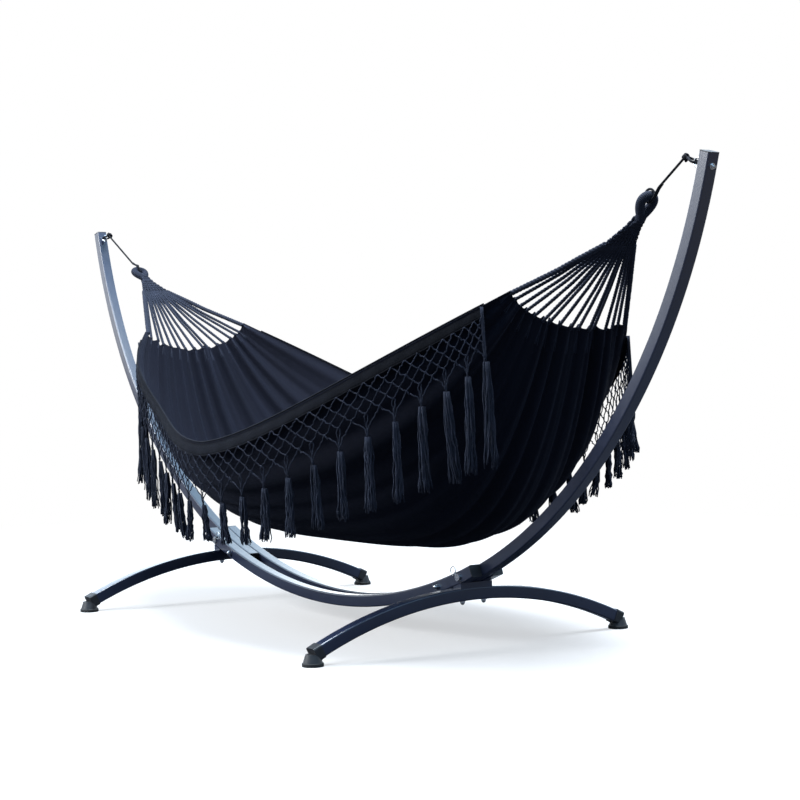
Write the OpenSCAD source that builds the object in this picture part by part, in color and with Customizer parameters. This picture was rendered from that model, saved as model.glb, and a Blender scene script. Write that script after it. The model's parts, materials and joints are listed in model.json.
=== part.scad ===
// Hammock on a knock-down steel stand, millimetres, +Z up, standing on the floor at z = 0.
// The long side runs along X; the right-hand end is at +X and the front is at -Y.

/* [Tube] */
// Side of the square steel tube
tube = 40; // [30:1:60]
// Wall thickness of the tube
wall = 2; // [1.5:0.5:4]
// Outside radius of the tube's corners
corner = 5; // [2.5:0.5:8]
// How far an end plug reaches into the tube
plug_depth = 14; // [8:1:25]
// Thickness of an end plug's flange
plug_flange = 3; // [2:0.5:6]

/* [Rails] */
// Radius of the rail arc on its centreline
rail_radius = 2260; // [1800:10:3000]
// Height of the rail centreline at the middle
rail_low = 80; // [50:5:160]
// Half length of a rail, measured along X
rail_half_length = 850; // [700:10:1000]
// Gap between the two rails, where the arms sit
rail_gap = 42; // [41:0.5:60]

/* [Legs] */
// Distance of a leg from the middle of the stand
leg_x = 780; // [600:10:840]
// Radius of the leg arch on its centreline
leg_radius = 1375; // [900:5:2500]
// Height of the leg centreline at the middle
leg_high = 168; // [120:1:260]
// Half span of the leg tube across Y
leg_half_span = 590; // [450:5:700]
// Distance of a foot pad's centre from the middle across Y
pad_y = 592; // [450:5:710]
// Radius of a foot pad
pad_radius = 33; // [15:1:40]
// Thickness of a foot pad
pad_height = 11; // [6:1:20]

/* [Arms] */
// Radius of the arm arc on its centreline
arm_radius = 1800; // [1500:10:2200]
// X of the centre of the right arm's arc
arm_centre_x = 134.5; // [50:0.5:300]
// Height of the centre of the arm's arc
arm_centre_z = 1900; // [1700:5:2100]
// Angle of the lower end of the arm, from straight down
arm_low_angle = 15.3; // [10:0.1:17]
// Angle of the top end of the arm, from straight down
arm_top_angle = 75.4; // [60:0.1:85]
// Angle of the eye bolt, from straight down
eye_angle = 74.3; // [58:0.1:84]

/* [Fasteners] */
// Angle of the cross bolt along the arm's arc
bolt_angle = 17.41; // [16:0.01:20]
// Angle of the lock pin along the arm's arc
pin_angle = 21.33; // [19:0.01:24]
// Radius of the cross bolt and of the lock pin
bolt_radius = 5; // [4:0.5:6]
// Running clearance of the lock pin in its hole
pin_clearance = 0.1; // [0.05:0.01:0.3]
// Radius of the lock pin's head
pin_head_radius = 12; // [8:0.5:18]
// Mean radius of the pull ring
ring_radius = 13; // [8:0.5:20]
// Radius of the pull ring's wire
ring_wire = 1.5; // [1:0.1:3]
// Mean radius of the eye of an eye bolt
eye_radius = 13; // [10:0.5:16]
// Radius of the wire of an eye bolt
eye_wire = 3; // [2:0.5:5]
// Distance of the eye's centre from the arm's inner face
eye_reach = 18; // [15:1:40]
// Radius of a leg bolt's shank
leg_bolt_radius = 4; // [3:0.5:5]

/* [Hammock] */
// Radius of the hanging rope
rope_radius = 3.5; // [2:0.5:4]
// Thickness of the cloth bed
bed_thickness = 6; // [4:0.5:12]
// Half width of the bed at the middle
bed_half_width = 580; // [400:10:700]
// Half width of the bed at its gathered ends
bed_end_half_width = 215; // [150:5:400]
// Height of the bed's side edges at the middle
bed_edge_height = 641; // [500:10:800]
// Height of the bottom of the bed at the middle
bed_low = 292; // [200:4:500]
// Number of string bundles at each end
string_count = 16; // [8:1:24]
// Radius of a string bundle
string_radius = 3; // [1.5:0.5:5]
// Length of the tightly woven part of each end
weave_length = 120; // [60:5:200]
// Half width of the woven part where the strings leave it
weave_half_width = 60; // [30:2:80]
// Half width of the woven part at its neck
weave_neck = 12; // [8:1:20]
// Thickness of the woven part
weave_thickness = 12; // [6:1:20]
// Mean radius of an end loop
loop_radius = 26; // [20:1:40]
// Radius of the bundle an end loop is made of
loop_bundle = 14; // [8:1:18]
// Radius of the knot in a hanging rope
knot_radius = 10; // [6:0.5:14]
// Radius of the rope's turn through the eye
bight_radius = 14; // [12:0.5:16]

/* [Fringe] */
// Height of the knotted net with its hem
net_height = 200; // [80:5:300]
// Number of tassels along a side
tassel_count = 25; // [8:1:30]
// How far the front fringe hangs below the cloth at the middle of the side
fringe_drop = 320; // [150:5:500]
// How much further it hangs at the ends of the front side
fringe_more = 160; // [0:5:200]
// How far the back fringe hangs below the cloth
back_fringe_drop = 340; // [150:5:500]
// Part of a side that carries the fringe
fringe_end = 0.945; // [0.5:0.001:0.97]
// How strongly the tassels close up towards the ends, as an angle
fringe_bunch = 71.6; // [5:0.1:80]
// Radius of a tassel
tassel_radius = 10; // [4:0.5:15]

/* [Hidden] */
$fn = 48;

frame_colour = [0.16, 0.19, 0.25];
plastic_colour = [0.05, 0.05, 0.06];
bright_colour = [0.75, 0.76, 0.78];
cloth_colour = [0.10, 0.12, 0.18];
rope_colour = [0.06, 0.06, 0.07];

rail_y = (rail_gap + tube) / 2;
rail_centre_z = rail_low + rail_radius;
rail_end_angle = asin(rail_half_length / rail_radius);
rail_outer_y = rail_gap / 2 + tube;
leg_centre_z = leg_high - leg_radius;
leg_end_angle = asin(leg_half_span / leg_radius);
inner = tube - 2 * wall;
washer_thickness = (rail_gap - tube) / 2;
hole_radius = bolt_radius + 0.25;
pin_hole_radius = bolt_radius + pin_clearance;
long = 400;

// Points along the arm's arc, in the XZ plane
function arm_x(angle, radius = arm_radius) = arm_centre_x + radius * sin(angle);
function arm_z(angle, radius = arm_radius) = arm_centre_z - radius * cos(angle);
pin_x = arm_x(pin_angle);
pin_z = arm_z(pin_angle);
pin_tip = 2;

// The eye, on the inside of the arm, and the line the hammock swings about
eye_centre_radius = arm_radius - tube / 2 - eye_reach;
bight_x = arm_x(eye_angle, eye_centre_radius - eye_radius);
bight_z = arm_z(eye_angle, eye_centre_radius - eye_radius);

// The pull ring stands up from the lug on its pin's head
pin_head_gap = 0.2;
pin_head_height = 7;
lug_width = 6;
ring_lean = 143;
ring_offset = 17;
lug_length = ring_offset + 3;
// Room for the weld between the seat and the tubes
seat_gap = 0.5;

// Where the strings of each end come together
right_neck = [1600, 0, 1293];
left_neck = [-1470, 0, 1243];
// Axis of each end loop, pointing from the neck to the rope
right_pull = [0.55, 0, 0.835];
left_pull = [-0.86, 0, 0.51];
right_knot = [1788, 0, 1442];
left_knot = [-1788, 0, 1436];
// Corners of the bed: x, mean height, and how much higher the front corner is than the back one
right_corner = [1285, 1053, 94];
left_corner = [-1040, 1033, -31];
// Lowest point of the bed's end edges
right_end_low = [1262, 1008];
left_end_low = [-1015, 955];
middle_x = 82;
// How sharply the bed's edges, bottom and width change towards the ends
edge_power = 1.65;
right_keel_power = 5.2;
left_keel_power = 3.7;
width_power = 2.6;
// The fringe hangs a little aside, as if in a light wind: shift in X and Y for each unit down
fringe_lean = [0.03, 0.045];
// Height above the bed's end edge that the woven part points at
spread_lift = 20;
// How much less the net hangs at its ends, and how late that begins
net_taper = 0.2;
net_taper_power = 6;
// Half of the angle the bed's section bends through
side_bend = 68;
// How much the left part of the front edge is drawn in
front_tuck = 0.13;

// ---------- shared shapes ----------

module right_or_left(side) {
    if (side > 0) {
        children();
    } else {
        mirror([1, 0, 0]) children();
    }
}

module front_or_back(y_side) {
    if (y_side > 0) {
        children();
    } else {
        mirror([0, 1, 0]) children();
    }
}

// A square with round corners, centred
module tube_section(size, round) {
    square([size, size - 2 * round], center = true);
    square([size - 2 * round, size], center = true);
    for (x = [-1, 1], y = [-1, 1]) {
        translate([x, y] * (size / 2 - round))
            circle(r = round, $fn = 32);
    }
}

// A square bar bent to an arc in the XZ plane; angles are from straight down towards +X
module arc_bar(radius, from, to, size, round) {
    rotate([90, 0, 0])
        rotate([0, 0, from - 90])
            rotate_extrude(angle = to - from, $fn = 240)
                translate([radius, 0])
                    tube_section(size, round);
}

module arc_tube(radius, from, to) {
    difference() {
        arc_bar(radius, from, to, tube, corner);
        arc_bar(radius, from - 0.5, to + 0.5, inner, corner - wall);
    }
}

// Local +X runs along the arc, local +Z points to the arc's centre
module at_arc(radius, angle) {
    rotate([0, -angle, 0])
        translate([0, 0, -radius])
            children();
}

// A cylinder along Y, centred
module across(radius, length) {
    rotate([90, 0, 0])
        cylinder(h = length, r = radius, center = true);
}

// A round bar from one point to another
module rod(from, to, radius) {
    d = to - from;
    length = norm(d);
    translate(from)
        rotate([0, acos(d[2] / length), atan2(d[1], d[0])])
            cylinder(h = length, r = radius, $fn = 24);
}

module ring(mean_radius, wire_radius) {
    rotate_extrude($fn = 64)
        translate([mean_radius, 0])
            circle(r = wire_radius, $fn = 24);
}

// A plug for a tube end; the flange lies on the -X side of the origin
module end_plug() {
    slack = 0.4;
    rotate([0, 90, 0]) {
        translate([0, 0, -plug_flange])
            linear_extrude(plug_flange)
                tube_section(tube, corner);
        translate([0, 0, -1])
            linear_extrude(plug_depth + 1)
                tube_section(inner - slack, corner - wall);
    }
}

// ---------- stand ----------

module rail(side) {
    color(frame_colour)
    difference() {
        translate([0, side * rail_y, rail_centre_z])
            arc_tube(rail_radius, -rail_end_angle, rail_end_angle);
        for (end = [1, -1]) {
            translate([end * arm_x(bolt_angle), 0, arm_z(bolt_angle)])
                across(hole_radius, long);
            translate([end * pin_x, 0, pin_z])
                across(pin_hole_radius, long);
        }
    }
}

module leg_envelope(gap = 0) {
    translate([0, 0, leg_centre_z])
        rotate([0, 0, 90])
            arc_bar(leg_radius, 180 - leg_end_angle, 180 + leg_end_angle,
                tube + 2 * gap, corner + gap);
}

module leg(side) {
    color(frame_colour)
    right_or_left(side)
    translate([leg_x, 0, 0])
    difference() {
        translate([0, 0, leg_centre_z])
            rotate([0, 0, 90])
                arc_tube(leg_radius, 180 - leg_end_angle, 180 + leg_end_angle);
        for (y = [-rail_y, rail_y]) {
            translate([0, y, leg_high - tube])
                cylinder(h = 2 * tube, r = leg_bolt_radius + 0.5);
        }
    }
}

// The welded seat between a leg's flat top and the sloping undersides of the rails
module saddle(side) {
    seat_top = 60;
    thread_depth = leg_high + tube / 2 + 9;
    color(frame_colour)
    right_or_left(side)
    difference() {
        translate([leg_x - tube / 2, -rail_outer_y, leg_high])
            cube([tube, 2 * rail_outer_y, seat_top]);
        translate([leg_x, 0, 0])
            leg_envelope(seat_gap);
        translate([0, 0, rail_centre_z])
            rotate([90, 0, 0])
                cylinder(h = long, r = rail_radius + tube / 2 + seat_gap, center = true, $fn = 240);
        for (y = [-rail_y, rail_y]) {
            translate([leg_x, y, 0])
                cylinder(h = thread_depth, r = leg_bolt_radius);
        }
    }
}

// Dome-headed bolts that come up through the leg into the seat
module leg_bolts(side) {
    head_height = 5;
    head_radius = 8;
    dome_radius = 6.8;
    collar = 1.6;
    collar_radius = 10.5;
    underside = leg_high - tube / 2 - 1.1;
    tip = leg_high + tube / 2 + 8;
    color(bright_colour)
    right_or_left(side)
    for (y = [-rail_y, rail_y]) {
        translate([leg_x, y, underside - collar])
            cylinder(h = collar, r = collar_radius);
        translate([leg_x, y, underside - collar - head_height])
            cylinder(h = head_height, r = head_radius, $fn = 6);
        translate([leg_x, y, underside - collar - head_height])
            intersection() {
                sphere(r = dome_radius);
                translate([0, 0, -head_radius])
                    cube(2 * head_radius, center = true);
            }
        translate([leg_x, y, underside - 1])
            cylinder(h = tip - underside + 1, r = leg_bolt_radius);
    }
}

module arm(side) {
    color(frame_colour)
    right_or_left(side)
    difference() {
        translate([arm_centre_x, 0, arm_centre_z])
            arc_tube(arm_radius, arm_low_angle, arm_top_angle);
        translate([arm_x(bolt_angle), 0, arm_z(bolt_angle)])
            across(hole_radius, long);
        translate([pin_x, 0, pin_z])
            across(pin_hole_radius, long);
        translate([arm_centre_x, 0, arm_centre_z])
            at_arc(arm_radius, eye_angle)
                cylinder(h = 2 * tube, r = eye_wire + 0.25, center = true);
    }
}

// Thin washers that keep the arm off the rails, at the bolt and at the pin
module arm_washers(side) {
    washer_radius = 12;
    color(bright_colour)
    right_or_left(side)
    for (y = [-1, 1]) {
        for (angle = [bolt_angle, pin_angle]) {
            translate([arm_x(angle), y * (tube + washer_thickness) / 2, arm_z(angle)])
                difference() {
                    across(washer_radius, washer_thickness);
                    across(pin_hole_radius, 3 * washer_thickness);
                }
        }
    }
}

module cross_bolt(side) {
    head_height = 6;
    head_radius = 9;
    shank = 2 * rail_outer_y + 12;
    color(bright_colour)
    right_or_left(side)
    translate([arm_x(bolt_angle), rail_outer_y, arm_z(bolt_angle)])
    rotate([90, 0, 0]) {
        cylinder(h = shank, r = bolt_radius);
        translate([0, 0, -head_height])
            cylinder(h = head_height, r = head_radius, $fn = 6);
    }
}

// Domed nut on the front end of the cross bolt
module cross_nut(side) {
    hex_height = 8;
    hex_radius = 9.5;
    dome_radius = 8;
    bore_depth = 12;
    color(bright_colour)
    right_or_left(side)
    translate([arm_x(bolt_angle), -rail_outer_y, arm_z(bolt_angle)])
    rotate([90, 0, 0])
    difference() {
        union() {
            cylinder(h = hex_height, r = hex_radius, $fn = 6);
            translate([0, 0, hex_height])
                intersection() {
                    sphere(r = dome_radius);
                    translate([0, 0, dome_radius])
                        cube(2 * dome_radius, center = true);
                }
        }
        translate([0, 0, -1])
            cylinder(h = bore_depth + 1, r = bolt_radius);
    }
}

// Pull-out pin that stops the arm turning; it slides out towards the front
module lock_pin(side) {
    bevel = 2;
    reach = 2 * rail_outer_y + pin_tip;
    color(bright_colour)
    right_or_left(side)
    translate([pin_x, -rail_outer_y - pin_head_gap, pin_z])
    rotate([90, 0, 0])
    difference() {
        union() {
            translate([0, 0, bevel - reach])
                cylinder(h = reach - bevel, r = bolt_radius);
            translate([0, 0, -reach])
                cylinder(h = bevel, r1 = bolt_radius - bevel, r2 = bolt_radius);
            cylinder(h = pin_head_height, r = pin_head_radius);
            rotate([0, 0, ring_lean])
                translate([0, -lug_width / 2, 0])
                    cube([lug_length, lug_width, pin_head_height]);
        }
        rotate([0, 0, ring_lean])
            translate([ring_offset, 0, pin_head_height / 2])
                rotate([90, 0, 0])
                    cylinder(h = 3 * lug_width, r = ring_wire, center = true, $fn = 24);
    }
}

// Ring pressed into the lug on the pin's head
module pull_ring(side) {
    color(bright_colour)
    right_or_left(side)
    translate([pin_x, -rail_outer_y - pin_head_gap - pin_head_height / 2, pin_z])
    rotate([90, 0, 0])
    rotate([0, 0, ring_lean]) {
        difference() {
            translate([ring_offset + ring_radius, 0, 0])
                ring(ring_radius, ring_wire);
            translate([0, -lug_width / 2, -pin_head_height])
                cube([lug_length, lug_width, 2 * pin_head_height]);
        }
    }
}

module rail_caps(side) {
    color(plastic_colour)
    right_or_left(side)
    for (y = [-rail_y, rail_y]) {
        translate([0, y, rail_centre_z])
            at_arc(rail_radius, rail_end_angle)
                mirror([1, 0, 0])
                    end_plug();
    }
}

module arm_cap(side) {
    color(plastic_colour)
    right_or_left(side)
    translate([arm_centre_x, 0, arm_centre_z])
        at_arc(arm_radius, arm_top_angle)
            mirror([1, 0, 0])
                end_plug();
}

module tail_cap(side) {
    color(plastic_colour)
    right_or_left(side)
    translate([arm_centre_x, 0, arm_centre_z])
        at_arc(arm_radius, arm_low_angle)
            end_plug();
}

// Eye bolt through the arm near its top, eye on the inside of the curve
module eye_bolt(side) {
    thread_end = 12;
    stem = eye_reach - eye_radius + tube + thread_end;
    color(bright_colour)
    right_or_left(side)
    translate([arm_centre_x, 0, arm_centre_z])
    at_arc(eye_centre_radius, eye_angle)
    union() {
        rotate([90, 0, 0])
            ring(eye_radius, eye_wire);
        translate([0, 0, -eye_radius - stem])
            cylinder(h = stem, r = eye_wire);
        translate([0, 0, -eye_reach])
            cylinder(h = 2, r = 2 * eye_wire);
    }
}

module eye_nut(side) {
    nut_height = 5;
    nut_radius = 7;
    washer = 1.2;
    washer_radius = 9;
    color(bright_colour)
    right_or_left(side)
    translate([arm_centre_x, 0, arm_centre_z])
    at_arc(arm_radius + tube / 2, eye_angle)
    difference() {
        union() {
            translate([0, 0, -washer])
                cylinder(h = washer, r = washer_radius);
            translate([0, 0, -washer - nut_height])
                cylinder(h = nut_height, r = nut_radius, $fn = 6);
        }
        cylinder(h = long, r = eye_wire, center = true);
    }
}

// Plastic shoe over a leg's end, with the cone the foot pad sits under
module foot_cap(side, y_side) {
    skin = 3;
    overlap = 26;
    boss_radius = 30;
    boss_top_radius = 22;
    boss_top = 36;
    outer = tube + 2 * skin;
    color(plastic_colour)
    right_or_left(side)
    front_or_back(y_side)
    translate([leg_x, 0, 0])
    difference() {
        union() {
            translate([0, 0, leg_centre_z])
                rotate([0, 0, 90])
                    at_arc(leg_radius, 180 - leg_end_angle)
                        translate([-skin, 0, 0])
                            rotate([0, 90, 0])
                                linear_extrude(overlap + skin)
                                    tube_section(outer, corner + skin);
            translate([0, pad_y, pad_height])
                cylinder(h = boss_top - pad_height, r1 = boss_radius, r2 = boss_top_radius);
        }
        leg_envelope();
        translate([0, 0, pad_height - long])
            translate([-long / 2, 0, 0])
                cube([long, 2 * long, long]);
    }
}

module foot_pad(side, y_side) {
    bevel = 2;
    color(plastic_colour)
    translate([side * leg_x, y_side * pad_y, 0]) {
        cylinder(h = pad_height - bevel, r = pad_radius);
        translate([0, 0, pad_height - bevel])
            cylinder(h = bevel, r1 = pad_radius, r2 = pad_radius - bevel);
    }
}

// ---------- hammock ----------

function mix(a, b, t) = a + (b - a) * t;
function end_of(s, right, left) = s > 0 ? right : left;
function end_corner(s) = end_of(s, right_corner, left_corner);
function end_low(s) = end_of(s, right_end_low, left_end_low);
function keel_power(s) = end_of(s, right_keel_power, left_keel_power);
// Along the bed: s is -1 at the left end, 0 at the middle and 1 at the right end
function bed_half(s) = mix(bed_half_width, bed_end_half_width, pow(abs(s), width_power));
function edge_x(s) = mix(middle_x, end_corner(s)[0], abs(s));
function edge_z(s) = mix(bed_edge_height, end_corner(s)[1], pow(abs(s), edge_power));
function keel_x(s) = mix(middle_x, end_low(s)[0], abs(s));
function keel_z(s) = mix(bed_low, end_low(s)[1], pow(abs(s), keel_power(s)));
function twist(s) = end_corner(s)[2] * abs(s);
// Across the bed: v is -1 at the front edge, 0 at the keel and 1 at the back edge
function across_part(v) = sin(side_bend * v) / sin(side_bend);
function tuck(s, v) = s < 0 && v < 0 ? 1 + front_tuck * v * pow(sin(180 * s), 2) : 1;
function rise_part(v) = (1 - cos(side_bend * v)) / (1 - cos(side_bend));
function bed_point(s, v) = [
    mix(keel_x(s), edge_x(s), v * v),
    bed_half(s) * across_part(v) * tuck(s, v),
    mix(keel_z(s), edge_z(s), rise_part(v)) - twist(s) * v / 2
];
function unit(a) = a / norm(a);
function bed_normal(s, v, step = 0.01) = unit(cross(
    bed_point(s + step, v) - bed_point(s - step, v),
    bed_point(s, v + step) - bed_point(s, v - step)));

// A closed sheet from a grid of front points followed by a grid of back points
module closed_sheet(front, back, rows, columns) {
    count = rows * columns;
    points = concat(front, back);
    top = [for (i = [0 : rows - 2], j = [0 : columns - 2])
        for (k = [0, 1])
            k == 0
                ? [i * columns + j, (i + 1) * columns + j, (i + 1) * columns + j + 1]
                : [i * columns + j, (i + 1) * columns + j + 1, i * columns + j + 1]];
    bottom = [for (f = top) [f[2] + count, f[1] + count, f[0] + count]];
    rim = concat(
        [for (j = [0 : columns - 2]) j],
        [for (i = [0 : rows - 2]) i * columns + columns - 1],
        [for (j = [columns - 1 : -1 : 1]) (rows - 1) * columns + j],
        [for (i = [rows - 1 : -1 : 1]) i * columns]);
    sides = [for (k = [0 : len(rim) - 1])
        let (a = rim[k], b = rim[(k + 1) % len(rim)])
        for (half = [0, 1])
            half == 0 ? [a, b, b + count] : [a, b + count, a + count]];
    polyhedron(points = points, faces = concat(top, bottom, sides));
}

module hammock_bed() {
    rows = 37;
    columns = 27;
    grid = [for (i = [0 : rows - 1], j = [0 : columns - 1])
        [2 * i / (rows - 1) - 1, 2 * j / (columns - 1) - 1]];
    color(cloth_colour)
    closed_sheet(
        [for (g = grid) bed_point(g[0], g[1]) - bed_normal(g[0], g[1]) * bed_thickness / 2],
        [for (g = grid) bed_point(g[0], g[1]) + bed_normal(g[0], g[1]) * bed_thickness / 2],
        rows, columns);
}

function neck(side) = side > 0 ? right_neck : left_neck;
// Direction from a neck to the middle of the bed's end edge
function spread(side) = unit(bed_point(side, 0) + [0, 0, spread_lift] - neck(side));

// Local +Z runs from the neck to the bed, local Y stays level
module at_neck(side, direction) {
    translate(neck(side))
        rotate([0, atan2(direction[0], direction[2]), 0])
            children();
}

// The tightly woven part where the strings come together
module weave(side) {
    start = 4;
    color(cloth_colour)
    at_neck(side, spread(side))
        rotate([90, 0, 90])
            translate([0, 0, -weave_thickness / 2])
                linear_extrude(weave_thickness)
                    polygon([
                        [-weave_neck, start],
                        [weave_neck, start],
                        [weave_half_width, weave_length],
                        [-weave_half_width, weave_length]
                    ]);
}

function string_start(side, v) =
    neck(side) + spread(side) * weave_length
    + [0, v * (weave_half_width - string_radius), 0];

module strings(side) {
    weave_gap = 0.5;
    bed_gap = 1;
    color(cloth_colour)
    for (i = [0 : string_count - 1]) {
        v = 2 * (i + 0.5) / string_count - 1;
        start = string_start(side, v);
        finish = bed_point(side, v);
        way = unit(finish - start);
        rod(start + way * weave_gap, finish - way * bed_gap, string_radius);
    }
}

function pull(side) = unit(side > 0 ? right_pull : left_pull);
function loop_centre(side) = neck(side) + pull(side) * (loop_radius + loop_bundle);
function loop_top(side) = neck(side) + pull(side) * (2 * loop_radius + loop_bundle);

// Whipped loop of all the strings together
module end_loop(side) {
    color(cloth_colour)
    at_neck(side, pull(side))
        translate([0, 0, loop_radius + loop_bundle])
            rotate([0, 90, 0])
                ring(loop_radius, loop_bundle);
}

// Rope from the eye to the end loop: a turn through the eye, the knot, and a turn round the loop
module rope(side) {
    gap = 0.3;
    knot = side > 0 ? right_knot : left_knot;
    wire = [side * bight_x, 0, bight_z];
    away = unit(wire - knot);
    round_radius = loop_bundle + rope_radius + 1;
    lower = unit(loop_top(side) - knot);
    clear = rope_radius + gap;
    color(rope_colour) {
        translate(wire)
            rotate([0, -atan2(away[2], away[0]), 0])
                ring(bight_radius, rope_radius);
        rod(wire - away * (bight_radius + clear), knot + away * (knot_radius + gap), rope_radius);
        translate(knot)
            sphere(r = knot_radius, $fn = 32);
        rod(knot + lower * (knot_radius + gap),
            loop_top(side) - lower * (round_radius + clear), rope_radius);
        translate(loop_top(side))
            rotate([90, 0, 0])
                ring(round_radius, rope_radius);
    }
}

// Place along the bed's side for t from 0 to 1
function fringe_s(t) = fringe_end * sin(fringe_bunch * (2 * t - 1)) / sin(fringe_bunch);
function net_drop(t) = net_height * (1 - net_taper * pow(abs(2 * t - 1), net_taper_power));
function fringe_length(side, t) =
    side < 0 ? fringe_drop + fringe_more * abs(fringe_s(t)) : back_fringe_drop;
// t runs along the side, w is 0 at the cloth and 1 at the net's lower edge
function net_point(side, t, w, out = 6, gap = 3) =
    bed_point(fringe_s(t), side)
    + [0, side * out, -gap]
    + net_drop(t) * w * [fringe_lean[0], fringe_lean[1], -1];

module net(side) {
    rows = 31;
    columns = 3;
    thickness = 3;
    grid = [for (i = [0 : rows - 1], j = [0 : columns - 1])
        [i / (rows - 1), j / (columns - 1)]];
    near = [for (g = grid) net_point(side, g[0], g[1]) - [0, thickness / 2, 0]];
    far = [for (g = grid) net_point(side, g[0], g[1]) + [0, thickness / 2, 0]];
    color(cloth_colour)
    closed_sheet(near, far, rows, columns);
}

module tassels(side) {
    gap = 2;
    gather = 25;
    tie_radius = 3;
    color(cloth_colour)
    for (i = [0 : tassel_count - 1]) {
        t = i / (tassel_count - 1);
        length = fringe_length(side, t) - net_drop(t);
        top = net_point(side, t, 1) - [0, 0, gap];
        translate(top)
            rotate([atan(fringe_lean[1]), -atan(fringe_lean[0]), 0])
            rotate_extrude($fn = 16)
                polygon([
                    [0, 0],
                    [tie_radius, 0],
                    [tassel_radius, -gather],
                    [tassel_radius, -length],
                    [0, -length]
                ]);
    }
}

// ---------- nodes ----------

rail(-1);  // front_rail
rail(1);  // back_rail
leg(1);  // right_leg
leg(-1);  // left_leg
arm(1);  // right_arm
arm(-1);  // left_arm
saddle(1);  // right_saddle
saddle(-1);  // left_saddle
leg_bolts(1);  // right_leg_bolts
leg_bolts(-1);  // left_leg_bolts
cross_bolt(1);  // right_cross_bolt
cross_bolt(-1);  // left_cross_bolt
cross_nut(1);  // right_cross_nut
cross_nut(-1);  // left_cross_nut
lock_pin(1);  // right_lock_pin
lock_pin(-1);  // left_lock_pin
pull_ring(1);  // right_pull_ring
pull_ring(-1);  // left_pull_ring
arm_washers(1);  // right_arm_washers
arm_washers(-1);  // left_arm_washers
rail_caps(1);  // right_rail_caps
rail_caps(-1);  // left_rail_caps
arm_cap(1);  // right_arm_cap
arm_cap(-1);  // left_arm_cap
tail_cap(1);  // right_tail_cap
tail_cap(-1);  // left_tail_cap
eye_bolt(1);  // right_eye_bolt
eye_bolt(-1);  // left_eye_bolt
eye_nut(1);  // right_eye_nut
eye_nut(-1);  // left_eye_nut
foot_cap(1, -1);  // front_right_foot_cap
foot_cap(1, 1);  // back_right_foot_cap
foot_cap(-1, -1);  // front_left_foot_cap
foot_cap(-1, 1);  // back_left_foot_cap
foot_pad(1, -1);  // front_right_foot_pad
foot_pad(1, 1);  // back_right_foot_pad
foot_pad(-1, -1);  // front_left_foot_pad
foot_pad(-1, 1);  // back_left_foot_pad
hammock_bed();
weave(1);  // right_weave
weave(-1);  // left_weave
strings(1);  // right_strings
strings(-1);  // left_strings
end_loop(1);  // right_end_loop
end_loop(-1);  // left_end_loop
rope(1);  // right_rope
rope(-1);  // left_rope
net(-1);  // front_net
net(1);  // back_net
tassels(-1);  // front_tassels
tassels(1);  // back_tassels
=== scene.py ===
"""Fringed cloth hammock on a bolt-together arc stand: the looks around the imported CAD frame.

Everything is in metres, +Z up. The right-hand end of the hammock is at +X and the front is at -Y.
"""

import json
import math

import bpy
import numpy as np
from mathutils import Matrix, Vector


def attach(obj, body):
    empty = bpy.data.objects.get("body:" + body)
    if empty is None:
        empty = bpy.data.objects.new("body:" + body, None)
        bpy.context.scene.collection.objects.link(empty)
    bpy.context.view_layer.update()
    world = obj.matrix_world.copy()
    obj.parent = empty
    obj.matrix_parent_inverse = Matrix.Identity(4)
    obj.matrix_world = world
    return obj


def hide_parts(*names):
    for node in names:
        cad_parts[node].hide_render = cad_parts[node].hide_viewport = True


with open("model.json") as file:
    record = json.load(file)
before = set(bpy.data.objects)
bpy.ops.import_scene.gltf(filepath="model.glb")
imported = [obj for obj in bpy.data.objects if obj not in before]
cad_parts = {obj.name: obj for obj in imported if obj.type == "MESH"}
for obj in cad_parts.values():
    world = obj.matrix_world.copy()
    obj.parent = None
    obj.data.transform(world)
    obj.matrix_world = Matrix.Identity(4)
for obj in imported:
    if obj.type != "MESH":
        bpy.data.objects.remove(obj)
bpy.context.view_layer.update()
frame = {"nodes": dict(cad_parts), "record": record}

# ---------- sizes, the same as the CAD model's ----------

TUBE = 0.040
CORNER = 0.005
RAIL_RADIUS = 2.260
RAIL_LOW = 0.080
RAIL_HALF_LENGTH = 0.850
RAIL_Y = 0.041
LEG_X = 0.780
LEG_RADIUS = 1.375
LEG_HIGH = 0.168
LEG_HALF_SPAN = 0.590
ARM_RADIUS = 1.800
ARM_CENTRE_X = 0.1345
ARM_CENTRE_Z = 1.900
ARM_LOW_ANGLE = 15.3
ARM_TOP_ANGLE = 75.4
EYE_ANGLE = 74.3
EYE_RADIUS = 0.013
EYE_REACH = 0.018

ROPE_RADIUS = 0.0035
BIGHT_RADIUS = 0.014
STRING_COUNT = 16
STRING_RADIUS = 0.003
WEAVE_LENGTH = 0.120
WEAVE_HALF_WIDTH = 0.060
WEAVE_NECK = 0.012
LOOP_RADIUS = 0.026
LOOP_BUNDLE = 0.014
TASSEL_COUNT = 25
NET_HEIGHT = 0.200
HEM_HEIGHT = 0.038
FRINGE_DROP = 0.320
FRINGE_MORE = 0.160
BACK_FRINGE_DROP = 0.340
FRINGE_LEAN = np.array([0.03, 0.045, -1.0])
FRINGE_END = 0.945
FRINGE_BUNCH = math.radians(71.6)

MIDDLE_X = 0.082
BED_HALF_WIDTH = 0.580
BED_END_HALF_WIDTH = 0.215
BED_EDGE_HEIGHT = 0.641
BED_LOW = 0.292
SIDE_BEND = math.radians(68)
FRONT_TUCK = 0.13
EDGE_POWER = 1.65
WIDTH_POWER = 2.6
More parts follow.
